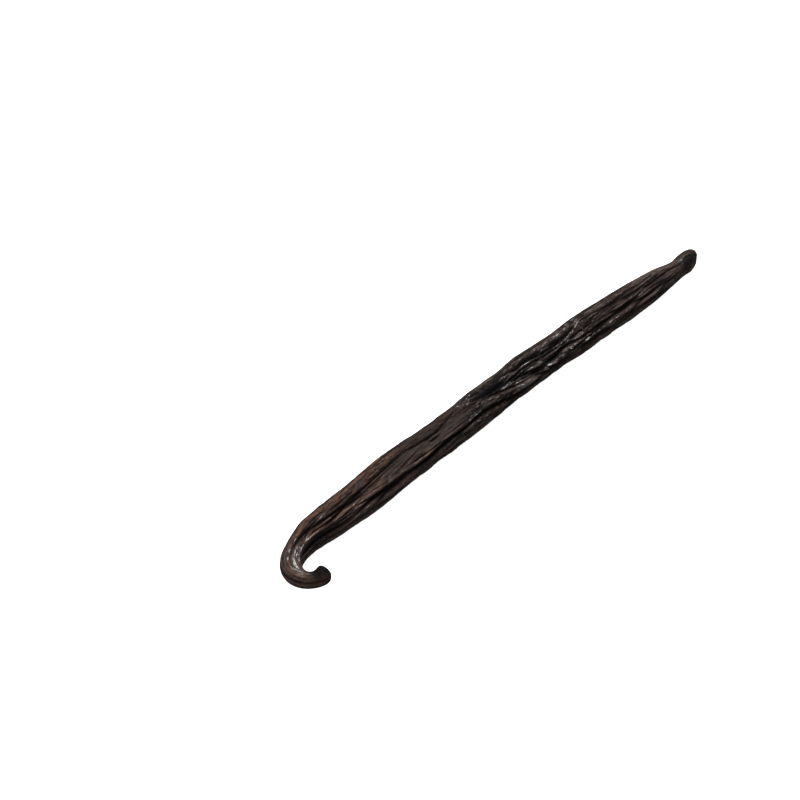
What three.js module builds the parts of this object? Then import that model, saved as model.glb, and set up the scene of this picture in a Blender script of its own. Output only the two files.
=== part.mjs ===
// A cured vanilla pod, lying on the plane z = 0. Millimetres, +Z up, +X towards the blossom end.
//
// The pod is one closed skin, swept along a spine that runs from the blossom end's small knob, through
// the long wrinkled body, to the curled hook of the stalk end. Each section is a rounded triangle that
// drying has pressed flat, and lengthwise folds are sunk into it.

import * as THREE from "three";
import { ParametricGeometry } from "three/addons/geometries/ParametricGeometry.js";

// ---- Driving dimensions. A station is a distance along the spine from the knob.
const LENGTH = 168.5; // along the spine, hook included

// Turns of the spine in plan, in degrees, each spread from one station to another.
const BENDS = [
  { from: 13, to: 43, turn: -5.4 },
  { from: 36, to: 79, turn: 9 },
  { from: 75, to: 100, turn: -4.6 },
  { from: 106, to: 121, turn: 3.5 },
  { from: 121, to: 135, turn: -3 },
  { from: 140.6, to: 164.4, turn: 41.4 }, // the shoulder of the hook
  { from: 153.6, to: 171.6, turn: 153.5 }, // the curl
];

// [station, width]: knob, neck, the body's swellings and waists, shoulder, hook and its blunt tip.
const WIDTHS = [
  [0, 1.6], [3, 4.8], [7, 4.5], [15, 6.8], [24, 8.1], [33, 8.8], [43, 9.3], [54, 8.9], [64, 9.1],
  [76, 8.6], [87, 9.1], [100, 9], [117, 9.7], [132, 9.1], [144, 7.4], [151, 5.7], [158, 4.9],
  [164, 3.6], [168.5, 4.7],
];

// [station, height over width]: the ends are round and the body has been pressed flat.
const FLATNESS = [[0, 1], [8, 1], [26, 0.79], [60, 0.77], [100, 0.78], [132, 0.8], [150, 1], [168, 1]];

// [station, gap between the underside and the plane]. Where it is negative the pod rests on a pressed flat.
const LIFT = [
  [0, 1.3], [6.4, 1.4], [15, 1.1], [28, 1], [38, 0.6], [48, -0.2], [58, -0.2], [68, 0.2], [84, 0.5],
  [98, 0.15], [110, 0], [122, -0.3], [136, -0.2], [146, 0.2], [153, 0.6], [160, 0.95], [168, 1.5],
];

const SQUARENESS = 2.25; // exponent of the section's rounded outline, 2 for an ellipse
const VALVE_SWELL = 0.06; // share by which the edges of the three valves stand out
const VALVE_EDGE = 142; // angle of one such edge; the other two are 120 degrees away

// Angles round the section, in degrees: 0 faces +Y, 90 faces up and 180 faces -Y on the straight body.
// A fold's path is [station, angle] from its end near the knob to its end near the hook.
const LONG_FOLDS = [
  { path: [[6, 104], [18, 116], [30, 122], [45, 122]], depth: 0.55, width: 0.5 },
  { path: [[7, 131], [18, 141], [34, 144], [50, 152], [60, 157], [67, 138], [78, 106]], depth: 0.6,
    width: 0.5 },
  { path: [[8, 154], [22, 151], [38, 162]], depth: 0.45, width: 0.5 },
  { path: [[12, 178], [34, 171], [52, 178]], depth: 0.45, width: 0.55 },
  { path: [[10, 86], [22, 95], [34, 92], [48, 100]], depth: 0.55, width: 0.5 },
  { path: [[42, 60], [52, 78], [60, 100], [68, 80], [76, 58], [89, 46]], depth: 0.85, width: 0.6 },
  { path: [[58, 176], [68, 150], [78, 124], [87, 94], [94, 72]], depth: 0.65, width: 0.5 },
  { path: [[90, 50], [98, 72], [105, 90], [113, 82], [134, 99], [144, 103], [154, 84]], depth: 0.9,
    width: 0.6 },
  { path: [[64, 178], [76, 162], [88, 140], [97, 150], [110, 156], [130, 153]], depth: 0.95, width: 0.65 },
  { path: [[116, 155], [126, 152], [136, 158], [146, 152], [158, 130]], depth: 0.85, width: 0.6 },
  { path: [[126, 112], [134, 111], [142, 122], [153, 118]], depth: 0.6, width: 0.45 },
  { path: [[102, 108], [112, 119], [124, 132]], depth: 0.35, width: 0.4 },
  { path: [[92, 190], [126, 180], [158, 172]], depth: 0.5, width: 0.6 },
];
const SHORT_FOLDS = { rows: 4, across: 12, inset: 8, reach: 32, depth: 0.42, width: 0.5, seed: 4127 };
const FOLD_FADE = 9; // length over which a fold dies out at each end
const FOLD_LIP = 0.3; // height of the skin pushed up beside a fold, as a share of its depth
const LIP_PLACE = 1.9; // distance of that lip from the fold's middle, in fold widths
const WAVER = 0.3; // how far a fold wanders to each side
const WAVER_PACE = { long: 6.3, short: 2.9 }; // length along the pod over which it does so, per radian
const BODY = { from: 24, to: 140, fade: 18 }; // where the valves swell and the relief has its full depth
const END_RELIEF = 0.35; // share of the relief that is left on the knob and the hook

const KNOB_SLANT = 1.5; // how far the knob leans back on its -Y side, per millimetre across
const KNOB_PULL = 2.4; // how far the knob is drawn out along the spine
const KNOB_REACH = 5.8; // length over which the lean and the pull die out
const CAP = 1.6; // length of each rounded end
const BLUNTNESS = 0.7; // 1 for a round end, towards 0 for a flat one
const SCAR = 0.45; // depth of the scar in the middle of each end

// ---- Mesh density.
const SIDES = 54;
const RINGS = 106;
const CAP_RINGS = 5; // of RINGS, at each end
const END_DENSITY = 0.55; // how much closer the rings stand near the ends

const RADIANS = Math.PI / 180;
const { smoothstep, clamp, euclideanModulo } = THREE.MathUtils;

// A repeatable row of numbers from 0 to 1.
function draws(seed) {
  let state = seed;
  return () => {
    state = (state * 16807) % 2147483647;
    return state / 2147483647;
  };
}

// Value at a station, on a smooth curve through [station, value] pairs.
function along(stations, s) {
  const last = stations.length - 1;
  const next = stations.findIndex(([at]) => at > s);
  const i = next < 0 ? last - 1 : Math.max(0, next - 1);
  const [before, here, there, after] = [i - 1, i, i + 1, i + 2].map((k) => stations[clamp(k, 0, last)]);
  const span = there[0] - here[0];
  const slope = (p, q) => ((q[1] - p[1]) / (q[0] - p[0])) * span;
  const k = clamp((s - here[0]) / span, 0, 1);
  return (
    here[1] * (2 * k ** 3 - 3 * k * k + 1) + slope(before, there) * (k ** 3 - 2 * k * k + k) +
    there[1] * (3 * k * k - 2 * k ** 3) + slope(here, after) * (k ** 3 - k * k)
  );
}

// 1 between two stations, falling smoothly to 0 outside them over a length.
function between(s, from, to, fade) {
  return smoothstep(s, from - fade, from) * (1 - smoothstep(s, to, to + fade));
}

// Direction of the spine at a station, in radians from +X. It sets off towards -X.
function heading(s) {
  const turned = BENDS.reduce((sum, bend) => sum + bend.turn * smoothstep(s, bend.from, bend.to), 0);
  return (180 + turned) * RADIANS;
}

// The spine in plan, worked out step by step from its heading.
const STEP = 0.25;
const plan = [[0, 0]];
for (let s = 0; s < LENGTH; s += STEP) {
  const [x, y] = plan.at(-1);
  const angle = heading(s + STEP / 2);
  plan.push([x + STEP * Math.cos(angle), y + STEP * Math.sin(angle)]);
}

function planAt(s) {
  const i = clamp(Math.floor(s / STEP), 0, plan.length - 2);
  return [0, 1].map((axis) => THREE.MathUtils.lerp(plan[i][axis], plan[i + 1][axis], s / STEP - i));
}

// Short folds fill the skin between the long ones, in overlapping rows along the body.
function shortFolds({ rows, across, inset, reach, depth, width, seed }) {
  const draw = draws(seed);
  const folds = [];
  for (let row = 0; row < rows; row++) {
    for (let i = 0; i < across; i++) {
      const middle = inset + ((LENGTH - 2 * inset) * (row + 0.15 + 0.7 * draw())) / rows;
      const half = reach * (0.5 + 0.4 * draw());
      const angle = (360 * (i + 0.5 * (row % 2) + 0.6 * draw())) / across;
      folds.push({
        path: [[middle - half, angle - 3 + 6 * draw()], [middle + half, angle - 3 + 6 * draw()]],
        depth: depth * (0.45 + 0.75 * draw()),
        width: width * (0.8 + 0.5 * draw()),
      });
    }
  }
  return folds;
}

const FOLDS = [...LONG_FOLDS, ...shortFolds(SHORT_FOLDS)];

// How far the folds move the skin at an angle of a section of that mean radius. Inwards is negative.
function relief(s, angle, radius) {
  let total = 0;
  FOLDS.forEach(({ path, depth, width }, i) => {
    const strength = between(s, path[0][0] + FOLD_FADE, path.at(-1)[0] - FOLD_FADE, FOLD_FADE);
    if (strength === 0) return;
    const aside = euclideanModulo(angle - along(path, s) + 180, 360) - 180;
    const sway = Math.sin(s / WAVER_PACE.long + 2.1 * i) + 0.5 * Math.sin(s / WAVER_PACE.short + 3.7 * i);
    const x = (aside * RADIANS * radius + WAVER * sway) / width;
    const groove = Math.exp(-x * x) - FOLD_LIP * Math.exp(-((Math.abs(x) - LIP_PLACE) ** 2));
    total -= depth * strength * groove;
  });
  return total;
}

// Ring v, from 0 in the knob's scar to 1 in the hook's: its station and its share of the full section.
function ringAt(v) {
  const share = CAP_RINGS / RINGS;
  const fromEnd = Math.min(v, 1 - v);
  if (fromEnd < share) {
    const turn = (fromEnd / share) * (Math.PI / 2);
    const size = Math.sin(turn) ** BLUNTNESS;
    const inset = CAP * (1 - Math.cos(turn)) + SCAR * (1 - size * size) ** 2;
    return { s: v < 0.5 ? inset : LENGTH - inset, size };
  }
  const w = (v - share) / (1 - 2 * share);
  const spread = w - (END_DENSITY * Math.sin(2 * Math.PI * w)) / (2 * Math.PI);
  return { s: CAP + (LENGTH - 2 * CAP) * spread, size: 1 };
}

// The point of the skin at share u of the way round ring v.
function skin(u, v, target) {
  const { s, size } = ringAt(v);
  const angle = 360 * (1 - u);
  const [across, up] = [Math.cos(angle * RADIANS), Math.sin(angle * RADIANS)];
  const halfWidth = along(WIDTHS, s) / 2;
  const halfHeight = halfWidth * along(FLATNESS, s);
  const body = between(s, BODY.from, BODY.to, BODY.fade);

  const outline = Math.abs(across / halfWidth) ** SQUARENESS + Math.abs(up / halfHeight) ** SQUARENESS;
  let radius = outline ** (-1 / SQUARENESS);
  radius *= 1 + VALVE_SWELL * body * Math.cos(3 * (angle - VALVE_EDGE) * RADIANS);
  radius += (END_RELIEF + (1 - END_RELIEF) * body) * relief(s, angle, Math.sqrt(halfWidth * halfHeight));
  radius *= size;

  const [x, y] = planAt(s);
  const direction = heading(s);
  const side = radius * across;
  const lean = -(KNOB_SLANT * side + KNOB_PULL) * (1 - smoothstep(s, 0, KNOB_REACH));
  target.set(
    x + lean * Math.cos(direction) + side * Math.sin(direction),
    y + lean * Math.sin(direction) - side * Math.cos(direction),
    Math.max(0, along(LIFT, s) + halfHeight + radius * up),
  );
}

function podSkin() {
  const geometry = new ParametricGeometry(skin, SIDES, RINGS);
  geometry.computeBoundingBox();
  const middle = geometry.boundingBox.getCenter(new THREE.Vector3());
  return geometry.translate(-middle.x, -middle.y, 0);
}

const curedSkin = new THREE.MeshStandardMaterial({ color: 0x2b1c16, roughness: 0.42, metalness: 0 });

const pod = new THREE.Mesh(podSkin(), curedSkin);
pod.name = "vanilla_pod";

const group = new THREE.Group();
group.add(pod);

export default group;
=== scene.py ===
"""A cured vanilla pod on a pale floor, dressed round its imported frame.

The pod is swept along a spine that is worked out from its bends, and a Geometry Nodes tree gives it its
section, its long folds and its fine creases. The skin's colour and gloss follow the same folds.

The pod's sizes and paths are in millimetres and degrees. The finished pod, the stage, the lights and the
camera are in metres and degrees.
"""

import math

import bpy
from mathutils import Matrix, Vector


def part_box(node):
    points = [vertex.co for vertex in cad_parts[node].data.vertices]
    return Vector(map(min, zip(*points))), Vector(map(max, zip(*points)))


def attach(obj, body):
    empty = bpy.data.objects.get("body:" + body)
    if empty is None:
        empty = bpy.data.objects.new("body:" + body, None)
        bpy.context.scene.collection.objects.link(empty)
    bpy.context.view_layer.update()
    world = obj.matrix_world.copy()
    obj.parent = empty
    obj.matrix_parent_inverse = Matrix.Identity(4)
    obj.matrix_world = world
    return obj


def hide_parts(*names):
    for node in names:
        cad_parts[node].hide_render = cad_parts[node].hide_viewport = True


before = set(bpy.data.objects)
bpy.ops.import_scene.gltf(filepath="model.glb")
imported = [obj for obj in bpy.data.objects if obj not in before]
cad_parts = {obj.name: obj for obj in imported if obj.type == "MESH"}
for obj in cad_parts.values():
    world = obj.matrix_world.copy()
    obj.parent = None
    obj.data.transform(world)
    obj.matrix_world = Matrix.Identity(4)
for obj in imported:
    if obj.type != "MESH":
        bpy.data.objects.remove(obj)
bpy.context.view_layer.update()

MM = 0.001

# ---- The pod's driving dimensions, in millimetres and degrees. A station is a distance from the knob.
LENGTH = 168.5

# The spine sets off from the knob towards -X. (from, to, turn): each turn in plan is spread from one station
# to another.
SETS_OFF = 180
BENDS = [
    (13, 43, -5.4),
    (36, 79, 9),
    (75, 100, -4.6),
    (106, 121, 3.5),
    (121, 135, -3),
    (140.6, 164.4, 41.4),
    (153.6, 171.6, 153.5),
]

# (station, width): knob, neck, the body's swellings and waists, shoulder, hook and its blunt tip.
WIDTHS = [
    (0, 1.6), (3, 4.8), (7, 4.5), (15, 6.8), (24, 8.1), (33, 8.8), (43, 9.3), (54, 8.9), (64, 9.1),
    (76, 8.6), (87, 9.1), (100, 9), (117, 9.7), (132, 9.1), (144, 7.4), (151, 5.7), (158, 4.9),
    (164, 3.6), (168.5, 4.7),
]

# (station, height over width)
FLATNESS = [(0, 1), (8, 1), (26, 0.79), (60, 0.77), (100, 0.78), (132, 0.8), (150, 1), (168, 1)]

# (station, gap under the pod): where it is negative the pod is pressed flat.
LIFT = [
    (0, 1.3), (6.4, 1.4), (15, 1.1), (28, 1), (38, 0.6), (48, -0.2), (58, -0.2), (68, 0.2), (84, 0.5),
    (98, 0.15), (110, 0), (122, -0.3), (136, -0.2), (146, 0.2), (153, 0.6), (160, 0.95), (168, 1.5),
]

SQUARENESS = 2.25
VALVES = 3
VALVE_SWELL = 0.06
VALVE_EDGE = 142

# (depth, width, path): a fold's path is (station, angle). 0 degrees faces +Y, 90 up and 180 -Y.
LONG_FOLDS = [
    (0.55, 0.5, [(6, 104), (18, 116), (30, 122), (45, 122)]),
    (0.6, 0.5, [(7, 131), (18, 141), (34, 144), (50, 152), (60, 157), (67, 138), (78, 106)]),
    (0.45, 0.5, [(8, 154), (22, 151), (38, 162)]),
    (0.45, 0.55, [(12, 178), (34, 171), (52, 178)]),
    (0.55, 0.5, [(10, 86), (22, 95), (34, 92), (48, 100)]),
    (0.85, 0.6, [(42, 60), (52, 78), (60, 100), (68, 80), (76, 58), (89, 46)]),
    (0.65, 0.5, [(58, 176), (68, 150), (78, 124), (87, 94), (94, 72)]),
    (0.9, 0.6, [(90, 50), (98, 72), (105, 90), (113, 82), (134, 99), (144, 103), (154, 84)]),
    (0.95, 0.65, [(64, 178), (76, 162), (88, 140), (97, 150), (110, 156), (130, 153)]),
    (0.85, 0.6, [(116, 155), (126, 152), (136, 158), (146, 152), (158, 130)]),
    (0.6, 0.45, [(126, 112), (134, 111), (142, 122), (153, 118)]),
    (0.35, 0.4, [(102, 108), (112, 119), (124, 132)]),
    (0.5, 0.6, [(92, 190), (126, 180), (158, 172)]),
]
SHORT_FOLDS = {
    "rows": 4, "across": 12, "inset": 8, "reach": 32, "depth": 0.42, "width": 0.5, "seed": 4127,
}
# The lowest and highest value of each of a short fold's draws. The place is a share of a row, half of the
# length a share of the reach, the turn a share of a step round the pod, and the slant is in degrees.
SHORT_FOLD_DRAWS = {
    "place": (0.15, 0.85),
    "half": (0.5, 0.9),
    "turn": (0, 0.6),
    "slant": (-3, 3),
    "depth": (0.45, 1.2),
    "width": (0.8, 1.3),
}
DRAW_FACTOR = 16807
DRAW_LIMIT = 2147483647

# A fold fades out at both ends over this length, and over a half of its own length at most.
FOLD_FADE = 9
FOLD_FADE_PARTS = 2
FOLD_LIP = 0.3
LIP_PLACE = 1.9
# Each fold sways by two waves: the first has the whole height, the second a share of it.
WAVER = 0.3
WAVER_PACE = (6.3, 2.9)
WAVER_SHIFT = (2.1, 3.7)
WAVER_SECOND = 0.5
# A zone is (from, to, fade).
BODY = (24, 140, 18)
END_RELIEF = 0.35

KNOB_SLANT = 1.5
KNOB_PULL = 2.4
KNOB_REACH = 5.8
CAP = 1.6
BLUNTNESS = 0.7
SCAR = 0.45

# ---- What only the skin has. A fold is (depth, width, path), as above, and a run is (strength, width, path).
# A run fades over a third of its own length at most.
RUN_FADE_PARTS = 3
SKIN_FOLDS = [
    # The knob's end.
    (0.3, 0.28, [(19, 69), (27, 74), (33, 82), (40, 91)]),
    (0.3, 0.26, [(22, 99), (28, 107), (36, 112), (46, 120)]),
    (0.3, 0.24, [(7, 134), (14, 138), (20, 140), (29, 138)]),
    (0.25, 0.22, [(9, 113), (21, 116)]),
    (0.35, 0.4, [(22, 127), (32, 131), (42, 134), (50, 134), (60, 137)]),
    (0.22, 0.2, [(31, 145), (36, 150), (42, 156)]),
    (0.22, 0.2, [(42, 149), (50, 149), (57, 156)]),
    (0.3, 0.26, [(24, 47), (34, 52), (41, 62)]),
    (0.25, 0.22, [(26, 61), (34, 66), (40, 75)]),
    # The wrinkled middle.
    (0.45, 0.36, [(42, 56), (46, 66), (49, 80), (54, 88), (61, 92)]),
    (0.35, 0.3, [(62, 111), (68, 116), (74, 117), (81, 111)]),
    (0.45, 0.36, [(51, 132), (58, 140), (64, 146), (69, 140), (74, 130), (80, 121)]),
    (1, 1.9, [(71, 104), (78, 93), (83, 80), (91, 46)]),
    (0.6, 1.1, [(46, 92), (54, 97), (60, 97), (65, 86), (73, 70)]),
    (0.7, 1.1, [(46, 122), (55, 134), (60, 141), (66, 139), (75, 122)]),
    (0.4, 0.28, [(86, 61), (91, 74), (97, 72), (104, 68)]),
    (1.4, 0.36, [(100.5, 117), (106, 118)]),
    # The two broad flats and the long lines below them.
    (0.34, 0.2, [(84, 118), (90, 126), (95, 131), (101, 129), (108, 133), (116, 137), (122, 133)]),
    (0.34, 0.22, [(83, 131), (90, 137), (96, 142), (102, 140), (110, 142), (119, 143)]),
    (0.3, 0.2, [(110, 108), (116, 112), (121, 113), (126, 108)]),
    # The ribs that run together towards the hook.
    (0.34, 0.22, [(125, 119), (132, 117), (138, 119), (142, 124), (147, 127)]),
    (0.34, 0.22, [(119, 135), (124, 131), (130, 124), (134, 126), (139, 133), (145, 139)]),
    (0.4, 0.3, [(131, 56), (138, 68), (143, 77), (152, 88)]),
    (0.25, 0.2, [(114, 60), (122, 60)]),
    (0.25, 0.2, [(119, 50), (126, 50)]),
    (0.25, 0.2, [(127, 46), (136, 50), (146, 57)]),
    (0.22, 0.2, [(110, 66), (120, 70), (130, 68), (135, 77)]),
    (0.3, 0.3, [(116, 62), (122, 68), (128, 72)]),
    (0.3, 0.3, [(124, 58), (132, 64), (139, 74)]),
    (0.3, 0.28, [(128, 80), (135, 83), (141, 90)]),
    (0.28, 0.26, [(120, 96), (128, 97), (134, 99)]),
    (0.3, 0.28, [(126, 104), (133, 108), (139, 112)]),
    (0.25, 0.26, [(140, 82), (147, 84), (152, 90)]),
    (0.3, 0.28, [(137, 122), (143, 127), (149, 125)]),
    (0.3, 0.3, [(124, 142), (131, 140), (138, 144)]),
    (0.25, 0.26, [(118, 162), (126, 166), (134, 170)]),
]
# Warm brown ribs and edges. The row along the lower edge from station 122 is painted light thrown up from the
# floor.
BROWN_AND_BOUNCE_RUNS = [
    (1, 1.3, [(110, 40), (120, 46), (132, 50), (148, 58)]),
    (0.7, 0.8, [(110, 66), (122, 70), (130, 75), (138, 82)]),
    (1, 0.6, [(121, 128), (126, 113), (131, 106), (138, 112), (145, 118), (153, 111)]),
    (0.8, 1.5, [(5, 62), (12, 72), (19, 84), (26, 70)]),
    (0.6, 0.8, [(36, 46), (44, 48), (54, 52)]),
    (0.9, 0.35, [(64, 150), (70, 152), (76, 146)]),
    (0.6, 0.35, [(45, 155), (51, 155), (57, 158)]),
    # Painted light thrown up from the floor along the lower edge.
    (0.4, 0.8, [(122, 172), (134, 172), (152, 184)]),
    (0.7, 1.6, [(148, 48), (156, 40), (163, 30), (170, 24)]),
    (0.9, 0.9, [(118, 58), (124, 58), (132, 62), (140, 72)]),
    (0.7, 0.9, [(122, 112), (128, 100), (134, 104), (140, 112)]),
    (0.6, 0.8, [(66, 152), (71, 146), (76, 136)]),
]
# Painted shade, nearly black: in deep hollows and the gaps between lumps, along sides turned away from the
# light, and on the knob's end and the hook's tip.
BLACK_SHADE_RUNS = [
    (1, 1.2, [(138, 146), (145, 144), (152, 138), (158, 140)]),
    (2, 1.5, [(73, 104), (78, 95), (81, 86), (85, 68), (88, 56)]),
    (0.9, 0.7, [(53, 96), (59, 98), (64, 88), (70, 68)]),
    (1, 0.7, [(50, 126), (55, 134), (60, 141), (66, 139), (71, 124)]),
    (1.2, 1.3, [(-2, 132), (3, 130), (8, 124)]),
    (0.8, 0.6, [(56, 140), (62, 142), (68, 136), (80, 112)]),
    (0.7, 0.8, [(88, 152), (104, 158), (120, 158), (134, 166)]),
    (0.4, 2.2, [(42, 92), (56, 100), (68, 102), (88, 88)]),
    (1.5, 2.6, [(162, 96), (167, 100), (174, 100)]),
]
# Two broad, calm flats that run together. Their grey is a painted sheen.
FLAT_RUNS = [
    (1, 1.3, [(84, 106), (94, 107), (104, 108), (114, 104), (126, 108)]),
]
# Paler skin. The patch at stations 34 to 43 and the two rows over the hook are a painted sheen.
PALE_AND_SHEEN_RUNS = [
    (1.6, 2.2, [(5, 84), (12, 76), (20, 76), (28, 90)]),
    (1.8, 1.3, [(34, 50), (38.5, 74), (43, 100)]),
    (0.6, 1.6, [(8, 150), (20, 160), (34, 172), (46, 178)]),
    (0.8, 1.5, [(84, 178), (106, 182), (128, 180), (150, 184)]),
    (0.5, 1.8, [(148, 50), (156, 44), (168, 30)]),
    (0.6, 1.8, [(148, 98), (157, 106), (166, 116)]),
    (0.9, 1, [(44, 64), (52, 54), (62, 58), (72, 48), (84, 38)]),
]
# Raised lines and lumps with oily crests, lightened away from the hook as a painted highlight. Here the
# strength is the height.
CRESTS = [
    # The wrinkled middle.
    (0.4, 0.5, [(43, 58), (47.5, 82)]),
    (0.3, 0.3, [(44.5, 122), (46.2, 106)]),
    (0.3, 0.3, [(46.2, 120), (48.2, 106)]),
    (0.45, 0.55, [(47, 88), (49, 103), (53, 113)]),
    (0.3, 0.4, [(52.5, 114), (58.5, 118)]),
    (0.35, 0.45, [(49, 65), (55.5, 72)]),
    (0.4, 0.5, [(55, 70), (58, 77), (61, 86)]),
    (0.3, 0.4, [(55, 127), (60, 120)]),
    (0.35, 0.35, [(51, 131), (56, 140)]),
    (0.2, 0.25, [(42, 140), (47, 142), (54, 146)]),
    (0.3, 0.3, [(43, 156), (48, 153), (53, 153), (57, 158)]),
    (0.4, 0.4, [(57, 162), (60, 155), (65, 152)]),
    (0.35, 0.4, [(61.5, 129), (64, 126), (69, 121)]),
    (0.35, 0.5, [(63, 113), (66, 104), (70, 92)]),
    (0.5, 0.6, [(70, 98), (72.5, 86), (76.5, 74)]),
    (0.65, 0.8, [(66, 150), (70, 143), (75.5, 132)]),
    (0.4, 0.35, [(73, 126), (76, 123), (79.5, 120)]),
    (0.3, 0.35, [(81, 129), (84, 113)]),
    (0.25, 0.4, [(83.5, 94), (85.5, 103), (87.5, 112)]),
    (0.3, 0.4, [(86.5, 76), (91, 60)]),
    (0.3, 0.25, [(75, 62), (79.5, 48)]),
    (0.3, 0.25, [(79, 64), (83, 50)]),
    (0.25, 0.22, [(83, 66), (87.5, 50)]),
    # Lips and ribs from the flats to the hook.
    (0.2, 0.22, [(83, 129), (90, 135), (97, 141)]),
    (0.2, 0.22, [(95, 134), (100, 129), (105, 130), (111, 135)]),
    (0.2, 0.25, [(102, 139), (112, 145), (118, 144), (124, 139)]),
    (0.2, 0.25, [(110, 161), (118, 153), (124, 156)]),
    (0.2, 0.3, [(120.5, 85), (126, 103)]),
    (0.3, 0.3, [(123, 128), (127, 122), (132, 122), (138, 130)]),
    (0.25, 0.3, [(135, 126), (138, 134), (142, 138)]),
    (0.3, 0.35, [(136, 112), (142, 118), (147, 117), (153, 112)]),
    (0.2, 0.3, [(131, 152), (136, 153), (140, 158)]),
    (0.2, 0.3, [(136, 82), (141, 92), (147, 94)]),
    # Ribs of the knob's end.
    (0.25, 0.35, [(8, 140), (14, 145), (23, 152)]),
    (0.25, 0.35, [(19, 118), (25, 122), (30, 125)]),
    (0.1, 0.3, [(29, 122), (35, 123), (41, 126)]),
    (0.08, 0.35, [(29, 95), (33, 101), (37, 108)]),
    (0.2, 0.3, [(32, 138), (36, 142), (41, 150)]),
    # The hook.
    (0.2, 0.24, [(151, 118), (157, 128), (162, 134), (166, 130)]),
    (0.12, 0.2, [(151, 98), (157, 106), (164, 108)]),
]
# Where the skin glistens.
OILY_RUNS = [
    (0.7, 1.1, [(147, 112), (154, 112), (160, 116), (167, 112)]),
    (0.9, 0.7, [(42, 72), (48, 70), (54, 78), (60, 82)]),
    (0.9, 0.7, [(43, 112), (50, 114), (60, 122), (66, 100), (76, 82), (82, 92)]),
    (0.9, 0.45, [(50, 140), (56, 154), (66, 154), (75, 141), (80, 124)]),
    (0.8, 0.35, [(84, 126), (94, 137), (104, 143), (122, 146), (128, 133), (140, 134)]),
    (0.35, 1, [(0, 84), (4, 88), (8, 92)]),
    (0.5, 1, [(34, 56), (38, 76), (42, 98)]),
]
RUNS = {
    "brown": BROWN_AND_BOUNCE_RUNS,
    "black_shade": BLACK_SHADE_RUNS,
    "flat": FLAT_RUNS,
    "pale": PALE_AND_SHEEN_RUNS,
    "oily": OILY_RUNS,
    "crest": CRESTS,
}

# ---- The skin's mesh: its rings along the pod and its points round each ring.
ALONG = 500
SKIN_COUNTS = {"Around": 196, "Along": ALONG}
SKIN_SIZES = {"Length": LENGTH, "Furrow Depth": 0.2, "Line Depth": 0.08, "Pucker Depth": 0.34}
SPINE_STEP = 0.25
CAP_RINGS = 14
PIN_TURN = 0.12
END_DENSITY = 0.15
LEAST_OUTLINE = 1e-6

# ---- A fold's profile on the skin. Places and pinches are in widths of the fold.
FOLD_PINCH = 1.65
FLOOR_DEPTH = 0.3
FLOOR_PINCH = 3
SHADE_LIP = 0.1
LIP_LIMIT = 0.35
CORE_PLACE = 0.2
CORE_PINCH = 2.1
CORE_STRENGTH = 2.2

# ---- Where the skin swells, and where it is calm.
SKIN_SWELL = 0.12
RIM_SWELL = 0.14
RIM_ANGLE = 40
RIM_NARROWNESS = 1.8
RIM_CALM = 0.6
FLAT_CALM = 0.5
FLAT_STILLNESS = 0.8
VIEWED_SIDE = 105
VIEWED_SHARE = (0.3, 0.75)

# ---- Patterns on the straightened skin. A pattern's share says how fast it runs along the pod, next to
# across it: a small share draws it out along the pod.
BARK_RADIUS = 4.4
# (scale, reach): how the lines of the relief and of the colour wander.
RELIEF_DRIFT = (0.12, 2.4)
COLOUR_DRIFT = (0.2, 2)
DRIFT_DETAIL = 1
NOISE_MIDDLE = 0.5
# name: (share, scale, detail, roughness)
NOISES = {
    "furrow strength": (0.25, 0.3, 1, 0.5),
    "pucker patches": (0.5, 0.25, 1, 0.5),
    "lumps": (0.3, 0.3, 1, 0.5),
    "streaks": (0.08, 1.2, 3, 0.6),
    "patches": (0.25, 0.25, 2, 0.5),
    "grain": (0.6, 4.5, 3, 0.7),
    "spots": (0.36, 1.5, 2, 0.5),
}
# name: (share, scale, detail, roughness, sharpness, distortion)
CREASES = {
    "relief lines": (0.05, 1.7, 2, 0.6, 13, 0.1),
    "cracks": (0.09, 1.1, 3, 0.62, 34, 0),
    "colour lines": (0.07, 2.6, 2, 0.6, 20, 0),
}
# name: (share, scale)
CELLS = {
    "furrows": (0.06, 0.85),
    "puckers": (0.5, 1.1),
}

# ---- Fine relief. A ramp is (low, high, start, end), and runs from 0 to 1 where it gives no start and end.
RELIEF_ZONE = (16, 146, 12)
END_CALM = 0.3
FURROW_STRENGTH = (0.35, 0.62, 0.25, 1)
FURROW_SHARPNESS = 8
FURROW_SWELL = (0.08, 0.4, 0, 0.5)
PUCKER_ZONE = (46, 88, 8)
PUCKER_PATCHES = (0.36, 0.5)
PUCKER_SHARPNESS = 6
PUCKER_SWELL = (0.05, 0.4, 0, 0.6)
LUMP_HEIGHT = 0.16

# ---- Colours of the skin, linear.
SKIN_DARK = (0.029, 0.0175, 0.0130, 1)
SKIN_MID = (0.073, 0.044, 0.033, 1)
SKIN_BROWN = (0.17, 0.081, 0.048, 1)
# Painted sheen: the grey of the flats.
PAINTED_SHEEN_GREY = (0.043, 0.0345, 0.0305, 1)
# Paler skin, and painted sheen.
SKIN_PALE_AND_SHEEN = (0.15, 0.107, 0.090, 1)
# Painted shade in grooves and creases; the same colour also makes the grain's dark specks.
SKIN_SHADE_AND_SPECKS = (0.0080, 0.0052, 0.0042, 1)
# Painted shade: near black, for deep hollows and sides turned from the light.
PAINTED_SHADE_BLACK = (0.0028, 0.0020, 0.0018, 1)

# ---- Where each colour lies: ramps of the patterns and marks, and shares that cover what is under them.
CREST_GAIN = 3
FLAT_SMOOTHNESS = 0.45
HOLLOW_FURROW = (0.4, 1, 0, 0.6)
HOLLOW_CREASE = (0.08, 0.26, 0, 0.6)
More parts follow.
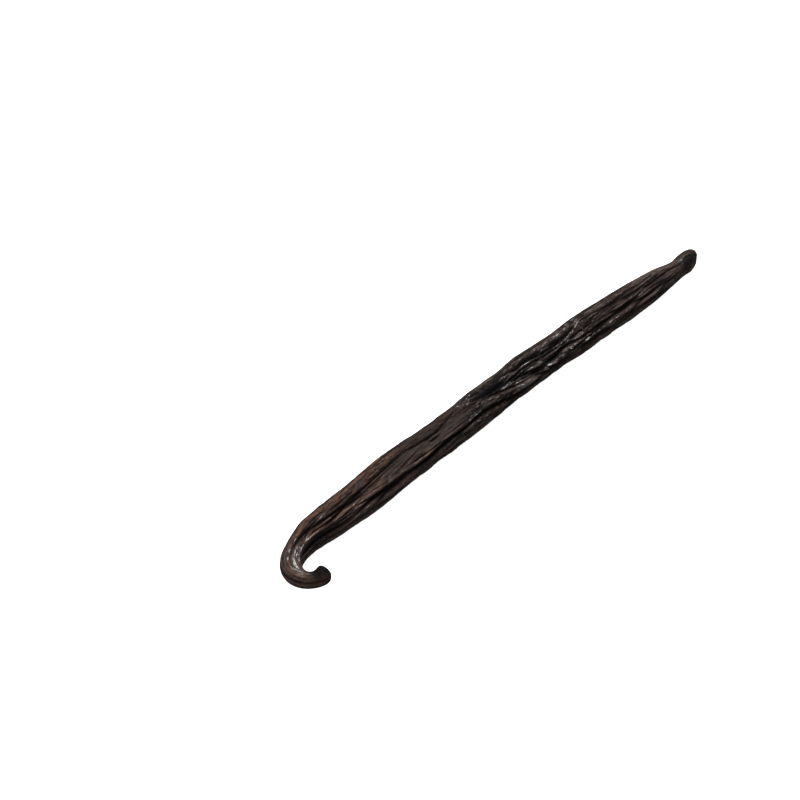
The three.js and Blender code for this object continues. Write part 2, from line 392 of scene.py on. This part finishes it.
# How fully the painted shade covers the colour in grooves and creases.
PAINTED_SHADE_COVER = 0.92
NEAR_HOOK = (98, 124, 0.15, 1)
MID_STREAKS = (0.38, 0.62)
BROWN_STREAKS = (0.38, 0.58, 0.15, 1)
BROWN_PATCHES = (0.36, 0.56)
BROWN_THREADS = (0.42, 0.6)
BROWN_CREST = 0.5
BROWN_CRACKED = 0.7
PALE_PATCHES = (0.3, 0.5, 0.5, 1)
# Painted highlight: how much the crests away from the hook are lightened.
CREST_HIGHLIGHT = 0.6
SHEEN_STREAKS = (0.36, 0.54, 0.5, 1)
CRACK_SHADE = 0.6
LINE_SHADE = 0.3
# How fully the painted black shade covers the colour beneath it.
BLACK_SHADE_COVER = 0.97
GRAIN_SPECKS = (0.45, 0.62, 0, 0.35)

# ---- Gloss and bump.
SCATTERED_OIL = (0.54, 0.64, 0, 0.6)
OILY_SPOTS = (0.42, 0.56)
CREST_OIL = (0.4, 0.56, 0.3, 1)
MATT_ZONE = (98, 143, 8)
MATT_SHARE = 0.7
SKIN_ROUGHNESS = 0.6
OIL_SMOOTHS = 0.14
HOLLOW_ROUGHENS = 0.3
STREAK_ROUGHENS = 0.1
ROUGHEST = 0.95
GRAIN_HEIGHT = 0.45
CRACK_HEIGHT = 0.8
LINE_HEIGHT = 0.45
BUMP_STRENGTH = 0.8
BUMP_DEPTH = 0.16
SKIN_GLOSS = {"Coat Roughness": 0.22, "Coat IOR": 1.65, "Specular IOR Level": 0.15}

# ---- Stage, light and camera, in metres and degrees.
WHITE = (1, 1, 1, 1)
FLOOR_REACH = 12
FLOOR_FINISH = {
    "Base Color": (0.9, 0.9, 0.9, 1),
    "Roughness": 0.9,
    "Specular IOR Level": 0.1,
    "Emission Color": WHITE,
    "Emission Strength": 1,
}
SKY = 0.25
# name: (place, size, power)
SOFTBOXES = {
    "overhead": ((0.3, 0.3, 0.85), 0.5, 9),
    "front": ((-0.85, -0.2, 0.6), 0.45, 2.6),
}
CAMERA_TARGET = (-0.013394, 0.024085, 0)
CAMERA_BEARING = 42.052
CAMERA_TILT = 40
CAMERA_DISTANCE = 0.7
CAMERA_LENS = 126
CAMERA_SENSOR = 36
CAMERA_NEAR = 0.01


def smoothstep(x, low, high):
    k = min(1, max(0, (x - low) / (high - low)))
    return k * k * (3 - 2 * k)


def between(s, low, high, fade):
    """1 between two stations, falling smoothly to 0 outside them over a length."""
    return smoothstep(s, low - fade, low) * (1 - smoothstep(s, high, high + fade))


def along(stations, s):
    """The value at a station, on a smooth curve through (station, value) pairs."""
    last = len(stations) - 1
    following = [i for i, (at, _) in enumerate(stations) if at > s]
    i = max(0, following[0] - 1) if following else last - 1
    before, here, there, after = (stations[min(last, max(0, k))] for k in (i - 1, i, i + 1, i + 2))
    span = there[0] - here[0]

    def slope(p, q):
        return (q[1] - p[1]) / (q[0] - p[0]) * span

    k = min(1, max(0, (s - here[0]) / span))
    return (
        here[1] * (2 * k**3 - 3 * k * k + 1)
        + slope(before, there) * (k**3 - 2 * k * k + k)
        + there[1] * (3 * k * k - 2 * k**3)
        + slope(here, after) * (k**3 - k * k)
    )


def heading(s):
    """Direction of the spine at a station, in radians from +X."""
    return math.radians(SETS_OFF + sum(turn * smoothstep(s, low, high) for low, high, turn in BENDS))


def draws(seed):
    """A repeatable row of numbers from 0 to 1, the same as the frame's."""
    state = seed
    while True:
        state = (state * DRAW_FACTOR) % DRAW_LIMIT
        yield state / DRAW_LIMIT


def short_folds(rows, across, inset, reach, depth, width, seed):
    """Short folds fill the skin between the long ones, in overlapping rows along the body."""
    draw = draws(seed)

    def drawn(name):
        low, high = SHORT_FOLD_DRAWS[name]
        return low + (high - low) * next(draw)

    folds = []
    for row in range(rows):
        offset = (row % 2) / 2
        for i in range(across):
            middle = inset + (LENGTH - 2 * inset) * (row + drawn("place")) / rows
            half = reach * drawn("half")
            angle = 360 * (i + offset + drawn("turn")) / across
            path = [(middle - half, angle + drawn("slant")), (middle + half, angle + drawn("slant"))]
            folds.append((depth * drawn("depth"), width * drawn("width"), path))
    return folds


FOLDS = LONG_FOLDS + short_folds(**SHORT_FOLDS) + SKIN_FOLDS


# ---- Node trees


class Wire:
    """An output socket that can stand in sums. Each operator adds its Math node to the tree."""

    def __init__(self, tree, socket):
        self.tree = tree
        self.socket = socket

    def _math(self, operation, *values):
        inputs = dict(enumerate(values))
        return self.tree.add("ShaderNodeMath", {"operation": operation}, inputs).out(0)

    def __add__(self, other):
        return self._math("ADD", self, other)

    def __sub__(self, other):
        return self._math("SUBTRACT", self, other)

    def __rsub__(self, other):
        return self._math("SUBTRACT", other, self)

    def __mul__(self, other):
        return self._math("MULTIPLY", self, other)

    def __truediv__(self, other):
        return self._math("DIVIDE", self, other)

    def __pow__(self, other):
        return self._math("POWER", self, other)

    def __neg__(self):
        return self._math("MULTIPLY", self, -1)

    def __abs__(self):
        return self._math("ABSOLUTE", self)

    __radd__ = __add__
    __rmul__ = __mul__

    def sin(self):
        return self._math("SINE", self)

    def cos(self):
        return self._math("COSINE", self)

    def exp(self):
        return self._math("EXPONENT", self)

    def least(self, other):
        return self._math("MINIMUM", self, other)

    def most(self, other):
        return self._math("MAXIMUM", self, other)

    def bell(self):
        """1 where the value is 0, falling to 0 on both sides."""
        return (-(self * self)).exp()

    def ramp(self, low, high, start=0, end=1):
        """start at low, end at high, smooth between them and level outside."""
        settings = {"interpolation_type": "SMOOTHSTEP"}
        inputs = {"Value": self, "From Min": low, "From Max": high, "To Min": start, "To Max": end}
        return self.tree.add("ShaderNodeMapRange", settings, inputs).out(0)

    def between(self, low, high, fade):
        """1 between low and high, falling smoothly to 0 outside them over a length."""
        return self.ramp(low - fade, low) * self.ramp(high, high + fade, 1, 0)


class Added:
    """A node just added to a tree, with its outputs by name or number."""

    def __init__(self, tree, node):
        self.tree = tree
        self.node = node

    def out(self, key):
        return Wire(self.tree, self.node.outputs[key])


class Tree:
    """A node tree with one way of adding a node."""

    def __init__(self, nodes_and_links):
        self.nodes = nodes_and_links.nodes
        self.links = nodes_and_links.links

    def add(self, kind, settings=None, inputs=None):
        """Adds a node. Its settings are set first, then the values or wires of its inputs."""
        node = self.nodes.new(kind)
        for name, value in (settings or {}).items():
            setattr(node, name, value)
        for key, value in (inputs or {}).items():
            if isinstance(value, Wire):
                self.links.new(value.socket, node.inputs[key])
            else:
                node.inputs[key].default_value = value
        return Added(self, node)

    def vector(self, x=0.0, y=0.0, z=0.0):
        return self.add("ShaderNodeCombineXYZ", None, {"X": x, "Y": y, "Z": z}).out(0)

    def parts(self, vector):
        split = self.add("ShaderNodeSeparateXYZ", None, {0: vector})
        return split.out("X"), split.out("Y"), split.out("Z")

    def scaled(self, vector, factor):
        return self.add("ShaderNodeVectorMath", {"operation": "SCALE"}, {0: vector, "Scale": factor}).out(0)

    def sum(self, *vectors):
        total = vectors[0]
        for vector in vectors[1:]:
            total = self.add("ShaderNodeVectorMath", {"operation": "ADD"}, {0: total, 1: vector}).out(0)
        return total

    def stretched(self, vector, x, y, z):
        """A vector with each of its parts multiplied."""
        return self.add("ShaderNodeVectorMath", {"operation": "MULTIPLY"}, {0: vector, 1: (x, y, z)}).out(0)

    def wandering(self, vector, scale, reach):
        """The vector moved sideways by a slow noise, so that lines along the pod wander."""
        inputs = {"Vector": vector, "Scale": scale, "Detail": DRIFT_DETAIL}
        drift = self.add("ShaderNodeTexNoise", None, inputs).out("Color")
        return self.sum(vector, self.stretched(drift, reach, reach, 0))

    def noise(self, vector, share, scale, detail, roughness, distortion=0.0):
        inputs = {
            "Vector": self.stretched(vector, 1, 1, share),
            "Scale": scale,
            "Detail": detail,
            "Roughness": roughness,
            "Distortion": distortion,
        }
        return self.add("ShaderNodeTexNoise", None, inputs).out("Fac")

    def cell_edges(self, vector, share, scale):
        """The distance from the nearest edge of a pattern of cells, in cells."""
        inputs = {"Vector": self.stretched(vector, 1, 1, share), "Scale": scale, "Randomness": 1.0}
        return self.add("ShaderNodeTexVoronoi", {"feature": "DISTANCE_TO_EDGE"}, inputs).out("Distance")

    def creases(self, vector, share, scale, detail, roughness, sharpness, distortion):
        """1 along thin lines where a noise passes its middle, falling to 0 between them."""
        level = self.noise(vector, share, scale, detail, roughness, distortion)
        return ((level - NOISE_MIDDLE) * sharpness).bell()


# ---- The spine and the pod's skin


def sway(s, i):
    """How far a fold's waver has gone at a station. Each fold of a table starts its waves elsewhere."""
    first, second = (math.sin(s / pace + shift * i) for pace, shift in zip(WAVER_PACE, WAVER_SHIFT))
    return first + WAVER_SECOND * second


def spine_guide():
    """A line of points along the spine that carries the section's sizes and each fold's place."""
    count = int(LENGTH / SPINE_STEP) + 1
    step = LENGTH / (count - 1)
    stations = [i * step for i in range(count)]
    points = [(0.0, 0.0, 0.0)]
    for s in stations[:-1]:
        angle = heading(s + step / 2)
        x, y, _ = points[-1]
        points.append((x + step * MM * math.cos(angle), y + step * MM * math.sin(angle), 0.0))
    mesh = bpy.data.meshes.new("spine")
    mesh.from_pydata(points, [(i, i + 1) for i in range(count - 1)], [])

    half_widths = [along(WIDTHS, s) / 2 for s in stations]
    half_heights = [w * along(FLATNESS, s) for w, s in zip(half_widths, stations)]
    values = {
        "half_width": half_widths,
        "half_height": half_heights,
        "middle_height": [along(LIFT, s) + h for s, h in zip(stations, half_heights)],
    }
    for name, row in values.items():
        mesh.attributes.new(name, "FLOAT", "POINT").data.foreach_set("value", row)

    for kind, rows in {"fold": FOLDS, **RUNS}.items():
        for i, (strength, _, path) in enumerate(rows):
            reach = path[-1][0] - path[0][0]
            parts = FOLD_FADE_PARTS if kind == "fold" else RUN_FADE_PARTS
            fade = min(FOLD_FADE, reach / parts)
            row = []
            for s, w, h in zip(stations, half_widths, half_heights):
                here = strength * between(s, path[0][0] + fade, path[-1][0] - fade, fade)
                angle = math.radians(along(path, s)) - WAVER * sway(s, i) / math.sqrt(w * h)
                row += [math.cos(angle), math.sin(angle), here]
            mesh.attributes.new(f"{kind}_{i}", "FLOAT_VECTOR", "POINT").data.foreach_set("vector", row)

    guide = bpy.data.objects.new("spine", mesh)
    bpy.context.scene.collection.objects.link(guide)
    return guide


def path_group(name, profiles):
    """A node group that gives each profile of one fold or run at a point of the skin."""
    group = bpy.data.node_groups.new(name, "GeometryNodeTree")
    sockets = [("Around", "NodeSocketVector"), ("Path", "NodeSocketVector")]
    sockets += [("Radius", "NodeSocketFloat"), ("Width", "NodeSocketFloat")]
    for socket, kind in sockets:
        group.interface.new_socket(socket, in_out="INPUT", socket_type=kind)
    for output in profiles:
        group.interface.new_socket(output, in_out="OUTPUT", socket_type="NodeSocketFloat")
    tree = Tree(group)
    given = tree.add("NodeGroupInput")

    x, y, strength = tree.parts(given.out("Path"))
    across, up, _ = tree.parts(given.out("Around"))
    apart = tree.add(
        "ShaderNodeVectorMath",
        {"operation": "DISTANCE"},
        {0: given.out("Around"), 1: tree.vector(x, y)},
    ).out("Value")
    turning = tree.add("ShaderNodeMath", {"operation": "SIGN"}, {0: x * up - y * across}).out(0)
    aside = apart * turning * given.out("Radius") / given.out("Width")
    outputs = {output: profile(strength, aside) for output, profile in profiles.items()}
    tree.add("NodeGroupOutput", None, outputs)
    return group


def run_profile(strength, aside):
    return strength * aside.bell()


def fold_profile(strength, aside):
    """A groove with a sharper line along its floor, and a lip on each side, one higher than the other."""
    lips = FOLD_LIP * (aside + LIP_PLACE).bell() + SHADE_LIP * (aside - LIP_PLACE).bell()
    floor_line = FLOOR_DEPTH * (aside * FLOOR_PINCH).bell()
    return strength * ((aside * FOLD_PINCH).bell() - lips + floor_line)


def shade_line_profile(strength, aside):
    """The narrow line of painted shade along a fold's floor."""
    return (strength * CORE_STRENGTH).least(1) * ((aside + CORE_PLACE) * CORE_PINCH).bell()


def ring_places(tree, share, length):
    """The station of a ring and its share of the full section, which closes round both ends."""
    cap_share = CAP_RINGS / ALONG
    from_end = share.least(1 - share)
    turn = PIN_TURN + (from_end / cap_share).least(1) * (math.pi / 2 - PIN_TURN)
    size = turn.sin() ** BLUNTNESS
    inset = CAP * (1 - turn.cos()) + SCAR * (1 - size * size) ** 2

    way = ((share - cap_share) / (1 - 2 * cap_share)).most(0).least(1)
    spread = way - (way * (2 * math.pi)).sin() * (END_DENSITY / (2 * math.pi))
    nearer_knob = tree.add("ShaderNodeMath", {"operation": "SIGN"}, {0: 0.5 - share}).out(0)
    station = CAP + (length - 2 * CAP) * spread - nearer_knob * (CAP - inset)
    return station, size


def fine_relief(tree, straight, station, facing, calm, furrow_depth, line_depth, pucker_depth):
    """How far the skin's own furrows, lines, puckers and lumps move it. Inwards is negative."""
    wandering = tree.wandering(straight, *RELIEF_DRIFT)

    # A network of long furrows that run together and part, with the skin swollen between them.
    apart = tree.cell_edges(wandering, *CELLS["furrows"])
    strong = tree.noise(straight, *NOISES["furrow strength"]).ramp(*FURROW_STRENGTH)
    furrows = strong * calm * ((apart * FURROW_SHARPNESS).bell() - apart.ramp(*FURROW_SWELL))

    # Thin lines on the swollen skin.
    lines = calm * tree.creases(wandering, *CREASES["relief lines"])

    # Rows of small oblong swellings, in patches of the middle.
    swollen = tree.cell_edges(wandering, *CELLS["puckers"])
    puckers = (swollen * PUCKER_SHARPNESS).bell() - swollen.ramp(*PUCKER_SWELL)
    patches = tree.noise(straight, *NOISES["pucker patches"]).ramp(*PUCKER_PATCHES)
    zone = station.between(*PUCKER_ZONE) * facing

    lumps = tree.noise(straight, *NOISES["lumps"]) - NOISE_MIDDLE
    calm_ends = END_CALM + (1 - END_CALM) * station.between(*RELIEF_ZONE)
    inwards = calm_ends * furrow_depth * furrows + line_depth * lines
    inwards = inwards + pucker_depth * puckers * patches * zone * calm
    return calm_ends * LUMP_HEIGHT * lumps - inwards


def skin_tree(skin):
    """The tree that turns the spine's guide into the pod's skin."""
    group = bpy.data.node_groups.new("pod_skin", "GeometryNodeTree")
    group.interface.new_socket("Guide", in_out="INPUT", socket_type="NodeSocketGeometry")
    for name in SKIN_COUNTS:
        group.interface.new_socket(name, in_out="INPUT", socket_type="NodeSocketInt")
    for name in SKIN_SIZES:
        group.interface.new_socket(name, in_out="INPUT", socket_type="NodeSocketFloat")
    group.interface.new_socket("Skin", in_out="OUTPUT", socket_type="NodeSocketGeometry")
    tree = Tree(group)
    given = tree.add("NodeGroupInput")
    length = given.out("Length")

    # The blank is a round bar of radius 1 and length 1 about its middle, with one ring for each station.
    counts = {"Vertices": given.out("Around"), "Side Segments": given.out("Along"), "Fill Segments": 1}
    bar = {**counts, "Radius": 1.0, "Depth": 1.0}
    blank = tree.add("GeometryNodeMeshCylinder", {"fill_type": "TRIANGLE_FAN"}, bar).out("Mesh")
    across, up, level = tree.parts(tree.add("GeometryNodeInputPosition").out(0))
    on_ring = (across * across + up * up) ** 0.5
    station, size = ring_places(tree, level + 0.5, length)

    spine = tree.add("GeometryNodeMeshToCurve", None, {"Mesh": given.out("Guide")}).out(0)

    def sampled(name, kind="FLOAT"):
        attribute = tree.add("GeometryNodeInputNamedAttribute", {"data_type": kind}, {"Name": name}).out(0)
        settings = {"mode": "LENGTH", "data_type": kind, "use_all_curves": False}
        inputs = {"Curves": spine, "Value": attribute, "Length": station * MM}
        return tree.add("GeometryNodeSampleCurve", settings, inputs)

    half_width = sampled("half_width").out("Value")
    half_height = sampled("half_height").out("Value")
    middle = sampled("middle_height")

    # The pressed, three-edged section.
    body = station.between(*BODY)
    outline = abs(across / half_width) ** SQUARENESS + abs(up / half_height) ** SQUARENESS
    angle = tree.add("ShaderNodeMath", {"operation": "ARCTAN2"}, {0: up, 1: across}).out(0)
    valves = ((angle - math.radians(VALVE_EDGE)) * VALVES).cos() * VALVE_SWELL * body
    radius = outline.most(LEAST_OUTLINE) ** (-1 / SQUARENESS) * (1 + valves)

    # The folds and the runs, each summed over its table.
    around = tree.vector(across, up)
    mean_radius = (half_width * half_height) ** 0.5

    def totals(kind, rows, profiles):
        group = path_group(kind, profiles)
        sums = {output: 0 for output in profiles}
        for i, (_, width, _) in enumerate(rows):
            inputs = {"Around": around, "Path": sampled(f"{kind}_{i}", "FLOAT_VECTOR").out("Value")}
            inputs.update({"Radius": mean_radius, "Width": width})
            node = tree.add("GeometryNodeGroup", {"node_tree": group}, inputs)
            sums = {output: node.out(output) + value for output, value in sums.items()}
        return sums

    folds = totals("fold", FOLDS, {"Depth": fold_profile, "Shade Line": shade_line_profile})
    runs = {kind: totals(kind, rows, {"Run": run_profile})["Run"] for kind, rows in RUNS.items()}
    shallower = 1 - runs["flat"].least(1) * FLAT_CALM
    depth = folds["Depth"].most(-LIP_LIMIT) * (END_RELIEF + (1 - END_RELIEF) * body) * shallower
    shade_line = folds["Shade Line"] * shallower

    # The fine relief that only the skin has.
    straight = tree.vector(across * BARK_RADIUS, up * BARK_RADIUS, station)
    depths = [given.out(name) for name in ("Furrow Depth", "Line Depth", "Pucker Depth")]
    facing = (angle - math.radians(VIEWED_SIDE)).cos().ramp(*VIEWED_SHARE)
    rim = ((angle - math.radians(RIM_ANGLE)) * RIM_NARROWNESS).bell()
    calm = (1 - runs["flat"] * FLAT_STILLNESS - rim * RIM_CALM).most(0)
    fine = fine_relief(tree, straight, station, facing, calm, *depths)
    swell = SKIN_SWELL + RIM_SWELL * rim + runs["crest"]
    radius = (radius - depth + fine + swell) * size * on_ring

    # Each point goes to its place beside the spine.
    along_x, along_y, _ = tree.parts(middle.out("Tangent"))
    side = radius * across
    lean = (side * KNOB_SLANT + KNOB_PULL) * station.ramp(0, KNOB_REACH, -1, 0)
    place = tree.sum(
        middle.out("Position"),
        tree.scaled(middle.out("Tangent"), lean * MM),
        tree.scaled(tree.vector(along_y, -along_x), side * MM),
        tree.vector(z=(middle.out("Value") + radius * up).most(0) * MM),
    )

    # What the skin's colours follow. The folds' depth, their shade lines and the fine creases place painted
    # shade.
    marks = {"station": station, "furrow": depth, "shade_line": shade_line, "crease": -fine, **runs}
    mesh = blank
    for name, value in marks.items():
        inputs = {"Geometry": mesh, "Name": name, "Value": value}
        mesh = tree.add("GeometryNodeStoreNamedAttribute", {"data_type": "FLOAT"}, inputs).out(0)
    inputs = {"Geometry": mesh, "Name": "straight", "Value": straight}
    mesh = tree.add("GeometryNodeStoreNamedAttribute", {"data_type": "FLOAT_VECTOR"}, inputs).out(0)

    mesh = tree.add("GeometryNodeSetPosition", None, {"Geometry": mesh, "Position": place}).out(0)
    mesh = tree.add("GeometryNodeFlipFaces", None, {"Mesh": mesh}).out(0)
    mesh = tree.add("GeometryNodeSetShadeSmooth", None, {"Geometry": mesh}).out(0)
    mesh = tree.add("GeometryNodeRealizeInstances", None, {"Geometry": mesh}).out(0)
    mesh = tree.add("GeometryNodeSetMaterial", None, {"Geometry": mesh, "Material": skin}).out(0)
    tree.add("NodeGroupOutput", None, {"Skin": mesh})
    return group


def vanilla_pod(skin):
    """The pod as one plain mesh, lying where the frame's solid lies."""
    guide = spine_guide()
    modifier = guide.modifiers.new("skin", "NODES")
    modifier.node_group = skin_tree(skin)
    values = {**SKIN_COUNTS, **SKIN_SIZES}
    for item in modifier.node_group.interface.items_tree:
        if item.in_out == "INPUT" and item.name in values:
            modifier[item.identifier] = values[item.name]

    made = guide.evaluated_get(bpy.context.evaluated_depsgraph_get())
    mesh = bpy.data.meshes.new_from_object(made)
    bpy.data.objects.remove(guide)

    low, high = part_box("vanilla_pod")
    places = [vertex.co for vertex in mesh.vertices]
    offset = [
        (low[i] + high[i] - min(p[i] for p in places) - max(p[i] for p in places)) / 2 for i in range(2)
    ]
    mesh.transform(Matrix.Translation((*offset, 0)))
    mesh.name = "pod_skin"
    pod = bpy.data.objects.new("pod_skin", mesh)
    bpy.context.scene.collection.objects.link(pod)
    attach(pod, "root")
    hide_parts("vanilla_pod")


# ---- Finishes


def cured_skin():
    """Oily, nearly black skin, brown on the ribs towards the hook. Its colour also carries painted light: a
    grey sheen on the flats, lighter crests, and black shade in its folds and hollows.
    """
    material = bpy.data.materials.new("cured_skin")
    material.use_nodes = True
    material.node_tree.nodes.clear()
    tree = Tree(material.node_tree)

    def attribute(name, output):
        return tree.add("ShaderNodeAttribute", {"attribute_name": name}).out(output)

    straight = attribute("straight", "Vector")
    furrow = attribute("furrow", "Fac")
    crease = attribute("crease", "Fac")
    station = attribute("station", "Fac")

    def mixed(factor, under, over):
        """One colour over another. A Mix node's colours are its inputs 6 and 7 and its output 2."""
        settings = {"data_type": "RGBA"}
        return tree.add("ShaderNodeMix", settings, {"Factor": factor, 6: under, 7: over}).out(2)

    wandering = tree.wandering(straight, *COLOUR_DRIFT)
    streaks = tree.noise(wandering, *NOISES["streaks"])
    patches = tree.noise(straight, *NOISES["patches"])
    grain = tree.noise(straight, *NOISES["grain"])
    spots = tree.noise(wandering, *NOISES["spots"])
    cracks = tree.creases(wandering, *CREASES["cracks"])
    lines = tree.creases(wandering, *CREASES["colour lines"])

    flat = attribute("flat", "Fac").least(1)
    crest = (attribute("crest", "Fac") * CREST_GAIN).least(1)
    rough_skin = 1 - FLAT_SMOOTHNESS * flat
    # Grooves, fold floors and fine creases, where the colour takes painted shade.
    hollow = attribute("shade_line", "Fac") + furrow.ramp(*HOLLOW_FURROW) + crease.ramp(*HOLLOW_CREASE)
    hollow = (hollow - crest).most(0).least(1)
    open_skin = 1 - hollow
    near_hook = station.ramp(*NEAR_HOOK)

    threads = patches.ramp(*BROWN_PATCHES) * streaks.ramp(*BROWN_THREADS)
    warm = attribute("brown", "Fac") * streaks.ramp(*BROWN_STREAKS)
    warm = warm + near_hook * (threads + crest * BROWN_CREST)
    brown = warm.least(1) * open_skin * (1 - BROWN_CRACKED * cracks)
    # Paler skin, part of it painted sheen, and the crests away from the hook lightened as a painted
    # highlight.
    pale = attribute("pale", "Fac") * patches.ramp(*PALE_PATCHES) + crest * (1 - near_hook) * CREST_HIGHLIGHT
    # Painted sheen: grey over the flats.
    grey = flat * open_skin * streaks.ramp(*SHEEN_STREAKS)
    # Painted shade: in the grooves and along fine cracks and lines.
    shade = hollow + rough_skin * (CRACK_SHADE * cracks + LINE_SHADE * lines)
    # Painted shade: the black runs, cleared off the crests.
    black_shade = attribute("black_shade", "Fac").least(1) * (1 - crest)

    colour = mixed(streaks.ramp(*MID_STREAKS), SKIN_DARK, SKIN_MID)
    colour = mixed(brown, colour, SKIN_BROWN)
    # Paler skin and painted sheen.
    colour = mixed(pale.least(1) * open_skin, colour, SKIN_PALE_AND_SHEEN)
    # Painted sheen on the flats.
    colour = mixed(grey, colour, PAINTED_SHEEN_GREY)
    # Painted shade in the grooves, cracks and lines.
    colour = mixed(shade.least(1) * PAINTED_SHADE_COVER, colour, SKIN_SHADE_AND_SPECKS)
    # Painted shade: black over deep hollows and sides turned from the light.
    colour = mixed(black_shade * BLACK_SHADE_COVER, colour, PAINTED_SHADE_BLACK)
    colour = mixed(grain.ramp(*GRAIN_SPECKS), colour, SKIN_SHADE_AND_SPECKS)

    wet = (spots.ramp(*SCATTERED_OIL) + spots.ramp(*OILY_SPOTS) * attribute("oily", "Fac")).least(1)
    matt = station.between(*MATT_ZONE) * MATT_SHARE
    oil = wet * (1 - black_shade) * open_skin * (1 - flat) + crest * spots.ramp(*CREST_OIL)
    oil = oil.least(1) * (1 - matt)
    roughness = SKIN_ROUGHNESS - OIL_SMOOTHS * oil + HOLLOW_ROUGHENS * hollow
    roughness = (roughness + STREAK_ROUGHENS * (streaks - NOISE_MIDDLE)).least(ROUGHEST)

    height = grain * GRAIN_HEIGHT - rough_skin * (cracks * CRACK_HEIGHT + lines * LINE_HEIGHT)
    relief = {"Strength": BUMP_STRENGTH, "Distance": BUMP_DEPTH * MM, "Height": height}
    bump = tree.add("ShaderNodeBump", None, relief).out(0)

    inputs = {
        "Base Color": colour,
        "Roughness": roughness,
        "Coat Weight": oil,
        "Normal": bump,
        **SKIN_GLOSS,
    }
    shader = tree.add("ShaderNodeBsdfPrincipled", None, inputs).out(0)
    tree.add("ShaderNodeOutputMaterial", None, {"Surface": shader})
    return material


def pale_floor():
    material = bpy.data.materials.new("pale_floor")
    material.use_nodes = True
    shader = material.node_tree.nodes["Principled BSDF"]
    for name, value in FLOOR_FINISH.items():
        shader.inputs[name].default_value = value
    return material


# ---- Stage, light and camera


def floor():
    """A wide pale floor that neither tints the pod nor shows in its gloss."""
    mesh = bpy.data.meshes.new("floor")
    r = FLOOR_REACH
    mesh.from_pydata([(-r, -r, 0), (r, -r, 0), (r, r, 0), (-r, r, 0)], [], [(0, 1, 2, 3)])
    mesh.materials.append(pale_floor())
    plane = bpy.data.objects.new("floor", mesh)
    bpy.context.scene.collection.objects.link(plane)
    plane.visible_diffuse = False
    plane.visible_glossy = False


def softbox(name, place, size, power):
    """A square light that is aimed at the pod."""
    light = bpy.data.lights.new(name, "AREA")
    light.shape = "SQUARE"
    light.size = size
    light.energy = power
    lamp = bpy.data.objects.new(name, light)
    lamp.location = place
    lamp.rotation_euler = (-Vector(place)).to_track_quat("-Z", "Y").to_euler()
    bpy.context.scene.collection.objects.link(lamp)


def soft_light():
    world = bpy.data.worlds.new("soft_light")
    world.use_nodes = True
    background = world.node_tree.nodes["Background"]
    background.inputs["Color"].default_value = WHITE
    background.inputs["Strength"].default_value = SKY
    bpy.context.scene.world = world
    for name, (place, size, power) in SOFTBOXES.items():
        softbox(name, place, size, power)
    bpy.context.scene.view_settings.view_transform = "Standard"
    bpy.context.scene.view_settings.look = "None"


def camera():
    """The camera looks down at the floor point that it is aimed at, across the pod."""
    tilt = math.radians(CAMERA_TILT)
    bearing = math.radians(CAMERA_BEARING)
    forward = Vector(
        (math.cos(bearing) * math.cos(tilt), math.sin(bearing) * math.cos(tilt), -math.sin(tilt))
    )
    lens = bpy.data.cameras.new("camera")
    lens.lens = CAMERA_LENS
    lens.sensor_width = CAMERA_SENSOR
    lens.clip_start = CAMERA_NEAR
    view = bpy.data.objects.new("camera", lens)
    view.location = Vector(CAMERA_TARGET) - forward * CAMERA_DISTANCE
    view.rotation_euler = forward.to_track_quat("-Z", "Y").to_euler()
    bpy.context.scene.collection.objects.link(view)
    bpy.context.scene.camera = view


floor()
soft_light()
camera()
vanilla_pod(cured_skin())
